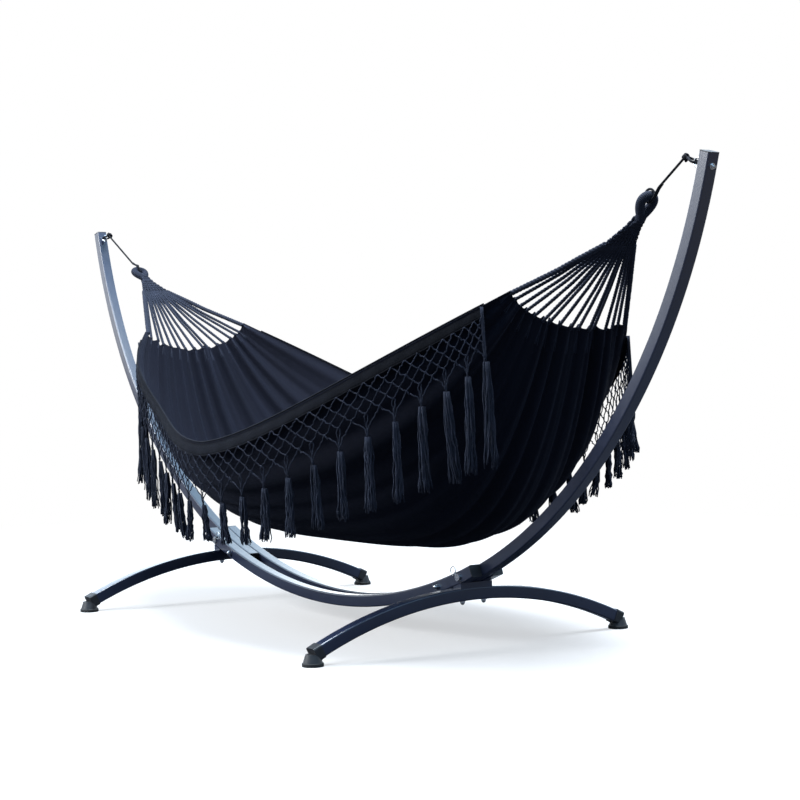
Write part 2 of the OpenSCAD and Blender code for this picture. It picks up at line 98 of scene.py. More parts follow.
# Each end edge of the cloth: its corners, how much higher the front one is than the back one, its
# lowest point, and the power by which the bottom rises towards it
RIGHT_END = {
    "corner_x": 1.285,
    "corner_z": 1.053,
    "front_above_back": 0.094,
    "low_x": 1.262,
    "low_z": 1.008,
    "keel_power": 5.2,
}
LEFT_END = {
    "corner_x": -1.040,
    "corner_z": 1.033,
    "front_above_back": -0.031,
    "low_x": -1.015,
    "low_z": 0.955,
    "keel_power": 3.7,
}
NECK = {1: np.array([1.600, 0, 1.293]), -1: np.array([-1.470, 0, 1.243])}
PULL = {1: np.array([0.55, 0, 0.835]), -1: np.array([-0.86, 0, 0.51])}
KNOT = {1: np.array([1.788, 0, 1.442]), -1: np.array([-1.788, 0, 1.436])}
SIDE_NAME = {1: "right", -1: "left"}
EDGE_NAME = {-1: "front", 1: "back"}

# ---------- sizes of what the CAD model keeps plain ----------

CLOTH_LENGTH = 2.5
CLOTH_WIDTH = 1.6
CLOTH_THICKNESS = 0.0022
HEM_THICKNESS = 0.0025
BUNDLE_RADIUS = 0.0056
EDGE_BUNDLE_RADIUS = 0.0085
YARN_PITCH = 0.034
WEAVE_ROWS = 13
WEAVE_FIRST_ROW = 0.010
WEAVE_ROW_STEP = 0.009
# Meshes from one tassel to the next; the rows are half-meshes
MESHES = 2
ROWS = 7
# Shares of the net's height: where the hem ends, and where the lowest rows start to draw together
HEM_PART = HEM_HEIGHT / NET_HEIGHT
GATHER_FROM = 0.60
NET_CORD_RADIUS = 0.0019
NET_KNOT_RADIUS = 0.0036
TASSEL_STRANDS = 22
TASSEL_RINGS = 12
EYE_KNOT_RADIUS = 0.0065
EYE_KNOT_CORD = 0.0030
FLOOR_HALF_SIZE = 60


# ---------- camera ----------

CAMERA_PLACE = (5.655, -3.548, 0.947)
CAMERA_ANGLES = {"azimuth": 56.03, "elevation": 1.611, "roll": -1.0}
LENS = 86.63
SENSOR_WIDTH = 36


def add_camera():
    azimuth, elevation, roll = (math.radians(angle) for angle in CAMERA_ANGLES.values())
    back = Vector(
        (
            math.sin(azimuth) * math.cos(elevation),
            -math.cos(azimuth) * math.cos(elevation),
            math.sin(elevation),
        )
    )
    level = Vector((math.cos(azimuth), math.sin(azimuth), 0))
    right = level * math.cos(roll) + back.cross(level) * math.sin(roll)
    up = back.cross(right)
    data = bpy.data.cameras.new("camera")
    data.lens = LENS
    data.sensor_width = SENSOR_WIDTH
    data.clip_end = 200
    camera = bpy.data.objects.new("camera", data)
    bpy.context.scene.collection.objects.link(camera)
    turn = Matrix((right, up, back)).transposed()
    camera.matrix_world = Matrix.Translation(CAMERA_PLACE) @ turn.to_4x4()
    bpy.context.scene.camera = camera


# ---------- mesh helpers ----------


def unit(a):
    a = np.asarray(a, float)
    return a / np.linalg.norm(a, axis=-1, keepdims=True)


def mix(a, b, t):
    return a + (b - a) * t


def smooth(t):
    t = np.clip(t, 0, 1)
    return t * t * (3 - 2 * t)


class Soup:
    """Points and faces of many small shapes, gathered into one mesh."""

    def __init__(self):
        self.points = []
        self.faces = []
        self.count = 0

    def add(self, points, faces):
        self.points.append(points)
        self.faces.extend(tuple(i + self.count for i in face) for face in faces)
        self.count += len(points)

    def tube(self, path, radius, sides=8, closed=False, across=None):
        """A round bar along path; across is the direction that its first corner points in."""
        path = np.asarray(path, float)
        n = len(path)
        if closed:
            tangent = np.roll(path, -1, 0) - np.roll(path, 1, 0)
        else:
            tangent = np.gradient(path, axis=0)
        tangent = unit(tangent)
        radius = np.broadcast_to(radius, (n,))
        if across is None:
            axis = np.eye(3)[np.argmin(np.abs(tangent[0]))]
        else:
            axis = np.asarray(across, float)
        normal = np.empty((n, 3))
        for i in range(n):
            axis = axis - tangent[i] * np.dot(axis, tangent[i])
            axis = axis / np.linalg.norm(axis)
            normal[i] = axis
        other = np.cross(tangent, normal)
        turn = np.arange(sides) * 2 * math.pi / sides
        ring = (
            normal[:, None, :] * np.cos(turn)[None, :, None]
            + other[:, None, :] * np.sin(turn)[None, :, None]
        )
        points = (path[:, None, :] + ring * radius[:, None, None]).reshape(-1, 3)
        self.add(points, tube_faces(n, sides, closed))

    def ball(self, centre, radius, sides, stretch):
        rings = sides // 2
        lat = np.linspace(0.12, math.pi - 0.12, rings + 1)
        lon = np.arange(sides) * 2 * math.pi / sides
        points = np.stack(
            [
                np.outer(np.sin(lat), np.cos(lon)),
                np.outer(np.sin(lat), np.sin(lon)),
                np.outer(np.cos(lat), np.ones(sides)),
            ],
            -1,
        ).reshape(-1, 3)
        points = points * np.asarray(stretch) * radius + np.asarray(centre)
        self.add(points, [f[::-1] for f in tube_faces(rings + 1, sides, False)])

    def build(self, name, material, body):
        mesh = bpy.data.meshes.new(name)
        mesh.from_pydata(np.concatenate(self.points).tolist(), [], self.faces)
        mesh.update()
        mesh.polygons.foreach_set("use_smooth", [True] * len(mesh.polygons))
        mesh.materials.append(material)
        obj = bpy.data.objects.new(name, mesh)
        bpy.context.scene.collection.objects.link(obj)
        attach(obj, body)
        return obj


def tube_faces(rings, sides, closed):
    faces = []
    for i in range(rings if closed else rings - 1):
        a, b = i * sides, ((i + 1) % rings) * sides
        for j in range(sides):
            k = (j + 1) % sides
            faces.append((a + j, a + k, b + k, b + j))
    if not closed:
        faces.append(tuple(range(sides))[::-1])
        faces.append(tuple(range((rings - 1) * sides, rings * sides)))
    return faces


def grid_piece(name, points, flat, material, thickness):
    """A thin sheet from a grid of points; flat holds each point's place on the flat cloth."""
    rows, columns = points.shape[:2]
    faces = [
        (i * columns + j, i * columns + j + 1, (i + 1) * columns + j + 1, (i + 1) * columns + j)
        for i in range(rows - 1)
        for j in range(columns - 1)
    ]
    mesh = bpy.data.meshes.new(name)
    mesh.from_pydata(points.reshape(-1, 3).tolist(), [], faces)
    mesh.polygons.foreach_set("use_smooth", [True] * len(faces))
    corners = np.empty(len(mesh.loops), int)
    mesh.loops.foreach_get("vertex_index", corners)
    layer = mesh.uv_layers.new(name="metres")
    layer.data.foreach_set("uv", flat.reshape(-1, 2)[corners].ravel())
    mesh.materials.append(material)
    piece = bpy.data.objects.new(name, mesh)
    bpy.context.scene.collection.objects.link(piece)
    solid = piece.modifiers.new("thickness", "SOLIDIFY")
    solid.thickness = thickness
    solid.offset = 0
    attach(piece, "hammock")
    return piece


def arc_point(radius, angle):
    """Point of an arc in the XZ plane; the angle is in degrees from straight down towards +X."""
    a = math.radians(angle)
    return np.array([radius * math.sin(a), 0, -radius * math.cos(a)])


# ---------- materials ----------


class Nodes:
    """A short way to write a material's node tree."""

    def __init__(self, name):
        self.material = bpy.data.materials.new(name)
        self.material.use_nodes = True
        self.tree = self.material.node_tree
        self.shader = self.tree.nodes["Principled BSDF"]

    def add(self, kind, **inputs):
        node = self.tree.nodes.new(kind)
        for key, value in inputs.items():
            target = key.replace("_", " ")
            if target in node.inputs:
                node.inputs[target].default_value = value
            else:
                setattr(node, key, value)
        return node

    def link(self, a, b):
        self.tree.links.new(a, b)

    def place(self, scale=(1, 1, 1), source="Object"):
        where = self.add("ShaderNodeTexCoord")
        mapping = self.add("ShaderNodeMapping", Scale=scale)
        self.link(where.outputs[source], mapping.inputs["Vector"])
        return mapping.outputs["Vector"]

    def noise(self, vector, scale, detail=3.0, roughness=0.5):
        node = self.add("ShaderNodeTexNoise", Scale=scale, Detail=detail, Roughness=roughness)
        self.link(vector, node.inputs["Vector"])
        return node.outputs["Fac"]

    def wave(self, vector, scale, axis, distortion):
        node = self.add("ShaderNodeTexWave", Scale=scale, Distortion=distortion)
        node.bands_direction = axis
        node.wave_profile = "SIN"
        self.link(vector, node.inputs["Vector"])
        return node.outputs["Fac"]

    def ramp(self, value, stops):
        node = self.add("ShaderNodeValToRGB")
        elements = node.color_ramp.elements
        while len(elements) < len(stops):
            elements.new(0.5)
        for element, (place, colour) in zip(elements, stops):
            element.position = place
            element.color = (*colour, 1)
        self.link(value, node.inputs["Fac"])
        return node.outputs["Color"]

    def span(self, value, low, high, from_low=0.0, from_high=1.0):
        node = self.add("ShaderNodeMapRange")
        node.inputs["From Min"].default_value = from_low
        node.inputs["From Max"].default_value = from_high
        node.inputs["To Min"].default_value = low
        node.inputs["To Max"].default_value = high
        self.link(value, node.inputs["Value"])
        return node.outputs["Result"]

    def math(self, operation, a, b):
        node = self.add("ShaderNodeMath", operation=operation)
        for socket, value in zip(node.inputs, (a, b)):
            if hasattr(value, "is_linked"):
                self.link(value, socket)
            else:
                socket.default_value = value
        return node.outputs["Value"]

    def bump(self, height, distance, strength=1.0):
        node = self.add("ShaderNodeBump", Distance=distance, Strength=strength)
        self.link(height, node.inputs["Height"])
        self.link(node.outputs["Normal"], self.shader.inputs["Normal"])

    def colour(self, output):
        self.link(output, self.shader.inputs["Base Color"])

    def roughness(self, output):
        self.link(output, self.shader.inputs["Roughness"])

    def set(self, **values):
        for key, value in values.items():
            self.shader.inputs[key.replace("_", " ")].default_value = value


def paint_material():
    """Dark blue-grey powder coat with a fine orange peel."""
    n = Nodes("frame_paint")
    place = n.place()
    cloud = n.noise(place, 6.0, 4.0)
    n.colour(n.ramp(cloud, [(0.3, (0.017, 0.024, 0.054)), (0.7, (0.021, 0.030, 0.066))]))
    n.roughness(n.span(n.noise(place, 55.0, 3.0), 0.30, 0.40, 0.3, 0.7))
    n.bump(n.noise(place, 700.0, 2.0), 0.0001, 0.12)
    n.set(Coat_Weight=1.0, Coat_Roughness=0.13, Specular_IOR_Level=0.5)
    return n.material


def steel_material():
    """Bright zinc plate with faint turning marks."""
    n = Nodes("bright_steel")
    place = n.place()
    marks = n.noise(n.place(scale=(1, 12, 1)), 260.0, 4.0)
    n.colour(n.ramp(n.noise(place, 90.0), [(0.2, (0.60, 0.61, 0.63)), (0.8, (0.78, 0.79, 0.80))]))
    n.roughness(n.span(marks, 0.16, 0.34, 0.3, 0.7))
    n.bump(marks, 0.00005, 0.4)
    n.set(Metallic=1.0)
    return n.material


def plastic_material():
    """Black moulded plastic with a fine leathery grain."""
    n = Nodes("black_plastic")
    place = n.place()
    grain = n.add("ShaderNodeTexVoronoi", Scale=900.0)
    n.link(place, grain.inputs["Vector"])
    cloud = n.noise(place, 30.0)
    n.colour(n.ramp(cloud, [(0.3, (0.012, 0.012, 0.014)), (0.7, (0.022, 0.022, 0.025))]))
    n.roughness(n.span(n.noise(place, 60.0), 0.42, 0.62, 0.3, 0.7))
    n.bump(grain.outputs["Distance"], 0.00015, 0.5)
    return n.material


def rubber_material():
    """Matt black rubber, dusty near the floor."""
    n = Nodes("black_rubber")
    place = n.place()
    dust = n.noise(place, 45.0, 6.0, 0.65)
    n.colour(n.ramp(dust, [(0.35, (0.012, 0.012, 0.012)), (0.8, (0.040, 0.038, 0.036))]))
    n.roughness(n.span(dust, 0.7, 0.92, 0.3, 0.8))
    n.bump(n.noise(place, 700.0), 0.0002, 0.5)
    return n.material


def cloth_material(name, tone):
    """Plain-woven dark cotton: warp along the hammock, weft across it, and faint slubs."""
    n = Nodes(name)
    # tone below 1 darkens the whole colour; the hem's copy at 0.3 is painted shade
    dark = tuple(tone * c for c in (0.0032, 0.0039, 0.0082))
    light = tuple(tone * c for c in (0.0070, 0.0085, 0.0175))
    place = n.place(source="UV")
    thread = 560.0
    warp = n.wave(place, thread, "Y", 0.6)
    weft = n.wave(place, thread * 0.8, "X", 0.6)
    slub = n.noise(n.place(scale=(2, 60, 1), source="UV"), 9.0, 5.0, 0.6)
    fade = n.noise(place, 5.0, 4.0, 0.55)
    shade = n.math("ADD", n.math("MULTIPLY", slub, 0.6), n.math("MULTIPLY", fade, 0.4))
    n.colour(n.ramp(shade, [(0.30, dark), (0.72, light)]))
    n.roughness(n.span(slub, 0.78, 0.95, 0.3, 0.7))
    height = n.math("ADD", n.math("MAXIMUM", warp, weft), n.math("MULTIPLY", slub, 0.8))
    n.bump(height, 0.0006, 0.55)
    n.set(Sheen_Weight=0.06, Sheen_Roughness=0.4, Sheen_Tint=(0.45, 0.52, 0.80, 1))
    n.set(Specular_IOR_Level=0.12)
    return n.material


def string_material(name, dark, light):
    """Twisted cotton yarn."""
    n = Nodes(name)
    place = n.place()
    yarn = n.noise(n.place(scale=(1, 1, 0.25)), 420.0, 4.0, 0.6)
    tone = n.noise(place, 24.0, 4.0, 0.6)
    shade = n.math("ADD", n.math("MULTIPLY", yarn, 0.5), n.math("MULTIPLY", tone, 0.5))
    n.colour(n.ramp(shade, [(0.33, dark), (0.68, light)]))
    n.roughness(n.span(tone, 0.75, 0.95, 0.3, 0.7))
    n.bump(yarn, 0.0006, 0.7)
    n.set(Sheen_Weight=0.15, Sheen_Roughness=0.4, Sheen_Tint=(0.5, 0.56, 0.75, 1))
    n.set(Specular_IOR_Level=0.15)
    return n.material


def floor_material():
    """White with a soft shadow near the stand, fading into the background further out."""
    n = Nodes("floor")
    place = n.place()
    n.colour(n.ramp(n.noise(place, 0.4), [(0.3, (0.86, 0.86, 0.87)), (0.7, (0.88, 0.88, 0.89))]))
    n.set(Roughness=0.9, Specular_IOR_Level=0.0)
    distance = n.add("ShaderNodeVectorMath", operation="LENGTH")
    n.link(place, distance.inputs[0])
    far = n.span(distance.outputs["Value"], 0.0, 1.0, 2.0, 4.2)
    seen = n.add("ShaderNodeLightPath").outputs["Is Camera Ray"]
    glow = n.add("ShaderNodeEmission")
    n.link(n.span(seen, 0.20, 1.0), glow.inputs["Strength"])
    dim = n.add("ShaderNodeBsdfDiffuse", Color=(0.06, 0.065, 0.08, 1))
    near = n.add("ShaderNodeMixShader")
    n.link(seen, near.inputs["Fac"])
    n.link(dim.outputs["BSDF"], near.inputs[1])
    even = n.add("ShaderNodeEmission", Strength=1.0)
    soft = n.add("ShaderNodeMixShader", Fac=0.55)
    n.link(n.shader.outputs["BSDF"], soft.inputs[1])
    n.link(even.outputs["Emission"], soft.inputs[2])
    n.link(soft.outputs["Shader"], near.inputs[2])
    both = n.add("ShaderNodeMixShader")
    n.link(far, both.inputs["Fac"])
    n.link(near.outputs["Shader"], both.inputs[1])
    n.link(glow.outputs["Emission"], both.inputs[2])
    n.link(both.outputs["Shader"], n.tree.nodes["Material Output"].inputs["Surface"])
    return n.material


# ---------- the bed's shape ----------


def by_end(s, size):
    """A size of the right end where s is positive, of the left end elsewhere."""
    return np.where(s > 0, RIGHT_END[size], LEFT_END[size])


def bed_point(s, v):
    """s runs from -1 at the left end to 1 at the right one; v from -1 at the front edge to 1."""
    s, v = np.broadcast_arrays(np.asarray(s, float), np.asarray(v, float))
    a = np.abs(s)
    half = mix(BED_HALF_WIDTH, BED_END_HALF_WIDTH, a**WIDTH_POWER)
    edge_x = mix(MIDDLE_X, by_end(s, "corner_x"), a)
    edge_z = mix(BED_EDGE_HEIGHT, by_end(s, "corner_z"), a**EDGE_POWER)
    keel_x = mix(MIDDLE_X, by_end(s, "low_x"), a)
    keel_z = mix(BED_LOW, by_end(s, "low_z"), a ** by_end(s, "keel_power"))
    rise = (1 - np.cos(SIDE_BEND * v)) / (1 - math.cos(SIDE_BEND))
    x = mix(keel_x, edge_x, v * v)
    tuck = np.where((s < 0) & (v < 0), 1 + FRONT_TUCK * v * np.sin(math.pi * s) ** 2, 1)
    y = half * tuck * np.sin(SIDE_BEND * v) / math.sin(SIDE_BEND)
    z = mix(keel_z, edge_z, rise) - by_end(s, "front_above_back") * a * v / 2
    return np.stack([x, y, z], -1)


def bed_normal(s, v, step=0.01):
    along = bed_point(s + step, v) - bed_point(s - step, v)
    side = bed_point(s, v + step) - bed_point(s, v - step)
    return unit(np.cross(along, side))


def gather(v):
    """1 where a string bundle holds the cloth's end, 0 half way to the next one."""
    return 0.5 - 0.5 * np.cos(math.pi * STRING_COUNT * (v + 1))


def folds(s, v):
    """Height of the pleats that run along the cloth from its gathered ends, and of longer waves."""
    a = np.abs(s)
    near_end = 0.0060 + 0.0035 * a - 0.0040 * a**24
    height = near_end * (gather(v) ** 1.6 - 0.4)
    rng = np.random.default_rng(11)
    for count in (4.3, 6.1, 7.4, 9.7, 12.9):
        phase, lean = rng.uniform(0, 6.28, 2), rng.uniform(-1.1, 1.1, 2)
        for end in (0, 1):
            here = smooth((s + 0.55) / 1.1) if end else smooth((0.55 - s) / 1.1)
            wave = np.sin(count * math.pi * v + phase[end] + lean[end] * s * (1.2 - a))
            height = height + here * (0.0012 + 0.0022 * a) * wave
    return height


def cloth_point(s, v):
    """The pleated cloth, its end edges drawn in between the strings."""
    a = np.abs(s)
    drawn = s * (1 - 0.003 * (1 - gather(v) ** 3) * a**30)
    return bed_point(drawn, v) + bed_normal(drawn, v) * folds(s, v)[..., None]


def add_bed(cloth):
    t = np.linspace(-1, 1, 241)
    s = np.sign(t) * (1 - (1 - np.abs(t)) ** 1.3)
    grid_s, grid_v = np.meshgrid(s, np.linspace(-1, 1, 401), indexing="ij")
    flat = np.stack([grid_s * CLOTH_LENGTH / 2, grid_v * CLOTH_WIDTH / 2], -1)
    shape = cloth_point(grid_s, grid_v)
    bed = grid_piece("bed_cloth", shape, flat, cloth, CLOTH_THICKNESS)
    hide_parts("hammock_bed")
    return bed


# ---------- fringe ----------


def fringe_s(t):
    """Place along the side; the tassels stand closer together towards the ends."""
    return FRINGE_END * np.sin(FRINGE_BUNCH * (2 * t - 1)) / math.sin(FRINGE_BUNCH)


def net_drop(t):
    return NET_HEIGHT * (1 - 0.2 * np.abs(2 * t - 1) ** 6)


def net_point(side, t, w):
    """t runs along the side; w is 0 at the cloth and 1 at the net's lower edge."""
    t, w = np.broadcast_arrays(np.asarray(t, float), np.asarray(w, float))
    top = bed_point(fringe_s(t), np.full_like(t, side))
    return top + [0, side * 0.006, -0.003] + (net_drop(t) * w)[..., None] * FRINGE_LEAN


def fringe_length(side, t):
    """How far the tassels reach below the cloth's edge."""
    return FRINGE_DROP + FRINGE_MORE * abs(fringe_s(t)) if side < 0 else BACK_FRINGE_DROP


TASSEL_T = np.linspace(0, 1, TASSEL_COUNT)


def lattice_point(side, column, row, home=None):
    """column counts meshes along the side from the left, row counts half-meshes down from the hem.

    home is the tassel that the strand ends in; the lowest rows are drawn together to it, which
    leaves an arch between one tassel and the next.
    """
    place = np.asarray(column, float) / MESHES
    part = np.asarray(row, float) / ROWS
    offset = place - (np.round(place) if home is None else home)
    pull = smooth((part - GATHER_FROM) / (1 - GATHER_FROM))
    t = (place - offset * pull) / (TASSEL_COUNT - 1)
    w = HEM_PART + (1 - HEM_PART) * (part - 0.10 * (2 * np.abs(offset)) ** 2 * pull * (1 - pull) * 4)
    return net_point(side, t, w)


def add_hem(side, cloth):
    """Plain band that the net is knotted to, with a seam along both of its edges."""
    t = np.linspace(0, 1, 300)
    w = np.linspace(-0.03, HEM_PART, 7)
    grid_t, grid_w = np.meshgrid(t, w, indexing="ij")
    part = np.clip(grid_w / HEM_PART, 0, 1)
    front = net_point(side, grid_t, grid_w)
    front[..., 1] += side * (0.0012 * np.sin(grid_t * 190) * part - 0.007 * (1 - part) ** 2)
    flat = np.stack([grid_t * 2.4, grid_w * NET_HEIGHT], -1)
    name = EDGE_NAME[side]
    # cloth is the hem's darkened copy of the cotton cloth, painted shade; the seams below use it too
    band = grid_piece(f"{name}_hem", front, flat, cloth, HEM_THICKNESS)
    seams = Soup()
    seams.tube(front[:, 0], 0.0032, 8)
    seams.tube(front[:, -1], 0.0024, 8)
    return [band, seams.build(f"{name}_hem_seams", cloth, "hammock")]


def add_net(side, yarn):
    """Knotted diamonds: two families of slanting cords with a knot at each crossing."""
    soup = Soup()
    columns = MESHES * (TASSEL_COUNT - 1)
    steps = 5
    rng = np.random.default_rng(23 + side)
    for start in range(-ROWS, columns + ROWS + 1):
        for lean in (-1, 1):
            row = np.linspace(0, ROWS, ROWS * steps + 1)
            column = start + lean * np.minimum(row, GATHER_FROM * ROWS) / 2
            keep = (column >= 0) & (column <= columns)
            if keep.sum() < steps:
                continue
            row, column = row[keep], column[keep]
            home = np.round((column[-1] - lean * 0.01) / MESHES)
            path = lattice_point(side, column, row, home if row[-1] == ROWS else None)
            loose = np.sin(row * math.pi)
            path[:, 1] += side * 0.002 + lean * 0.0012 * loose
            path[:, 2] -= 0.0030 * loose**2
            path += rng.normal(0, 0.0011, path.shape)
            soup.tube(path, NET_CORD_RADIUS, 6)
    for row in range(1, int(GATHER_FROM * ROWS) + 1):
        for column in range(columns):
            centre = lattice_point(side, column + (0.5 if row % 2 else 0), row)
            soup.ball(centre + [0, side * 0.002, 0], NET_KNOT_RADIUS, 6, (1.0, 0.9, 1.15))
    net = soup.build(f"{EDGE_NAME[side]}_net_strands", yarn, "hammock")
    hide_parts(f"{EDGE_NAME[side]}_net")
    return net


def add_tassels(side, yarn):
    """Loose strands bound together under the net's points."""
    soup = Soup()
    rng = np.random.default_rng(41 + side)
    u = np.linspace(0, 1, TASSEL_RINGS)
    for number, t in enumerate(TASSEL_T):
        top = net_point(side, t, 1.0)
        full = fringe_length(side, t) - net_drop(t)
        back, ahead = max(t - 0.01, 0), min(t + 0.01, 1)
        along = net_point(side, ahead, 1.0) - net_point(side, back, 1.0)
        along = unit(np.array([along[0], along[1], 0]))
        away = np.cross(along, [0, 0, 1])
        sway = rng.normal(0, 0.006, 2)
        twist = rng.uniform(-1.5, 1.5)
        if number in (0, TASSEL_COUNT - 1):
            # the net's end is a cord of seven strands
            for k in range(7):
                path = dense([net_point(side, t, 0.02), top], 0.02)
                path[:, 0] += rng.normal(0, 0.003)
                path[:, 1] += side * 0.002 + rng.normal(0, 0.002)
                soup.tube(path, 0.0020, 6)
        for k in range(TASSEL_STRANDS):
            angle = rng.uniform(0, 2 * math.pi) + twist * u
            spread = math.sqrt(rng.uniform(0.02, 1))
            width = mix(0.0075, 0.0125, smooth(u / 0.25)) * (1 + 0.5 * smooth((u - 0.55) / 0.45))
            wobble = rng.normal(0, 0.0016, (TASSEL_RINGS, 2)) * smooth(u / 0.3)[:, None]
            length = full * rng.uniform(0.93, 1.0)
            right = np.cos(angle) * spread * width * 1.2 + wobble[:, 0]
            out = np.sin(angle) * spread * width * 0.75 + wobble[:, 1]
            path = top + right[:, None] * along + out[:, None] * away
            path[:, :2] += sway * (u**2)[:, None]
            path += (length * u)[:, None] * FRINGE_LEAN
            soup.tube(path, mix(0.0024, 0.0017, u**3), 5)
    tassels = soup.build(f"{EDGE_NAME[side]}_tassel_strands", yarn, "hammock")
    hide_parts(f"{EDGE_NAME[side]}_tassels")
    return tassels


# ---------- the gathered ends ----------


def spread_direction(side):
    """Down the middle of the woven part, from the neck towards the cloth."""
    return unit(bed_point(side, 0) + [0, 0, 0.020] - NECK[side])


def fan_point(side, v, u):
    """Where string v is at the distance u below the neck, inside the woven part."""
    half = mix(WEAVE_NECK, WEAVE_HALF_WIDTH, u / WEAVE_LENGTH) - STRING_RADIUS
    return NECK[side] + spread_direction(side) * u + np.array([0, 1, 0]) * v * half


def twisted(soup, path, radius, strands, pitch):
    """Several yarns laid round a path."""
    path = np.asarray(path, float)
    steps = np.concatenate([[0], np.cumsum(np.linalg.norm(np.diff(path, axis=0), axis=1))])
    tangent = unit(np.gradient(path, axis=0))
    side = unit(np.cross(tangent, [0.13, 1, 0.07]))
    other = np.cross(tangent, side)
    each = radius * 0.58
    for k in range(strands):
        angle = steps / pitch * 2 * math.pi + k * 2 * math.pi / strands
        ring = side * np.cos(angle)[:, None] + other * np.sin(angle)[:, None]
        soup.tube(path + ring * (radius - each), each, 6)


def dense(points, spacing):
    """Points every spacing metres along a polyline."""
    points = np.asarray(points, float)
    steps = np.concatenate([[0], np.cumsum(np.linalg.norm(np.diff(points, axis=0), axis=1))])
    count = max(2, int(round(steps[-1] / spacing)) + 1)
    where = np.linspace(0, steps[-1], count)
    return np.stack([np.interp(where, steps, points[:, k]) for k in range(3)], -1)


def string_v(i):
    """Where string bundle i meets the end of the cloth, from -1 to 1 across it."""
    return 2 * (i + 0.5) / STRING_COUNT - 1


def add_strings(side, yarn):
    """Twisted bundles from the woven part to the cloth."""
    soup = Soup()
    for i in range(STRING_COUNT):
        v = string_v(i)
        start = fan_point(side, v, WEAVE_LENGTH * 0.97)
        finish = cloth_point(np.array(side * 0.995), np.array(v))
        sag = np.array([0, 0, -0.004])
        middle = (start + finish) / 2 + sag
        line = [start, mix(start, middle, 0.6) - sag * 0.2, middle, mix(middle, finish, 0.5), finish]
        inner = 0 < i < STRING_COUNT - 1
        radius = BUNDLE_RADIUS if inner else EDGE_BUNDLE_RADIUS
        twisted(soup, dense(line, 0.004), radius, 3, YARN_PITCH)
        # the bundle opens into the cloth's gathered end
        for k in (-1, 0, 1):
            inside = cloth_point(np.array(side * 0.975), np.array(v + k * 0.016))
            soup.tube(dense([mix(start, finish, 0.94), finish, inside], 0.006), 0.0016, 6)
    strings = soup.build(f"{SIDE_NAME[side]}_string_bundles", yarn, "hammock")
    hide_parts(f"{SIDE_NAME[side]}_strings")
    return strings


def add_weave(side, yarn):
    """Strings side by side with cross strands laced over and under them."""
    soup = Soup()
    down = spread_direction(side)
    face = np.cross(down, [0, 1, 0])
    for i in range(STRING_COUNT):
        v = string_v(i)
        u = np.linspace(-0.004, WEAVE_LENGTH, 40)
        path = np.array([fan_point(side, v, x) for x in u])
        lift = 0.0016 * np.sin(u / WEAVE_ROW_STEP * math.pi + i * math.pi)
        bulk = mix(0.0075, 0.0010, smooth(u / 0.05)) * (1 if i % 2 else -1)
        path = path + face * (lift + bulk)[:, None]
        twisted(soup, path, 0.0042, 3, 0.026)
    for row in range(WEAVE_ROWS):
        u = WEAVE_FIRST_ROW + row * WEAVE_ROW_STEP
        x = np.linspace(-1.02, 1.02, 96)
        sag = -0.006 * (1 - x**2)
        path = np.array([fan_point(side, a, u) for a in x]) + down * (sag + 0.006)[:, None]
        lace = 0.0044 * np.cos(x * STRING_COUNT * math.pi / 2 + row * math.pi)
        path = path + face * lace[:, None]
        twisted(soup, path, 0.0026, 2, 0.012)
    weave = soup.build(f"{SIDE_NAME[side]}_weave_strands", yarn, "hammock")
    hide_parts(f"{SIDE_NAME[side]}_weave")
    return weave


def teardrop(side, samples):
    """Closed outline of the end loop, pointed at the neck."""
    pull = unit(PULL[side])
    turn = np.linspace(0, 2 * math.pi, samples, endpoint=False)
    reach = 2 * LOOP_RADIUS + LOOP_BUNDLE
    round_part = 0.5 - 0.5 * np.cos(turn)
    up = reach * round_part**0.8
    wide = LOOP_RADIUS * np.sin(turn) * round_part**0.35
    return NECK[side] + up[:, None] * pull + wide[:, None] * np.array([0, 1, 0])


def add_end_loop(side, yarn):
    """All the strings bound together with cord into one loop."""
    samples = 760
    pull = unit(PULL[side])
    path = teardrop(side, samples)
    whip = np.abs(np.sin(np.arange(samples) / samples * math.pi * 46))
    radius = LOOP_BUNDLE * (0.93 + 0.07 * whip)
    soup = Soup()
    soup.tube(path, radius, 20, closed=True, across=np.cross(pull, [0, 1, 0]))
    # binding where the two halves meet
    turns = 7
    a = np.linspace(0, turns * 2 * math.pi, turns * 20)
    rise = np.linspace(-0.010, 0.014, len(a))
    out = np.cross(pull, [0, 1, 0])
    width = mix(0.0145, 0.0165, smooth((rise + 0.010) / 0.024))
    coil = (
        NECK[side]
        + rise[:, None] * pull
        + (np.cos(a) * width)[:, None] * np.array([0, 1, 0])
        + (np.sin(a) * 0.0125)[:, None] * out
    )
    soup.tube(coil, 0.0021, 6)
    loop = soup.build(f"{SIDE_NAME[side]}_end_loop_bound", yarn, "hammock")
    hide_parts(f"{SIDE_NAME[side]}_end_loop")
    return loop


# ---------- ropes ----------


def eye_wire(side):
    """Middle of the wire at the low side of the arm's eye."""
    radius = ARM_RADIUS - TUBE / 2 - EYE_REACH - EYE_RADIUS
    point = arc_point(radius, EYE_ANGLE) + [ARM_CENTRE_X, 0, ARM_CENTRE_Z]
    point[0] *= side
    return point


def loop_top(side):
    return NECK[side] + unit(PULL[side]) * (2 * LOOP_RADIUS + LOOP_BUNDLE)


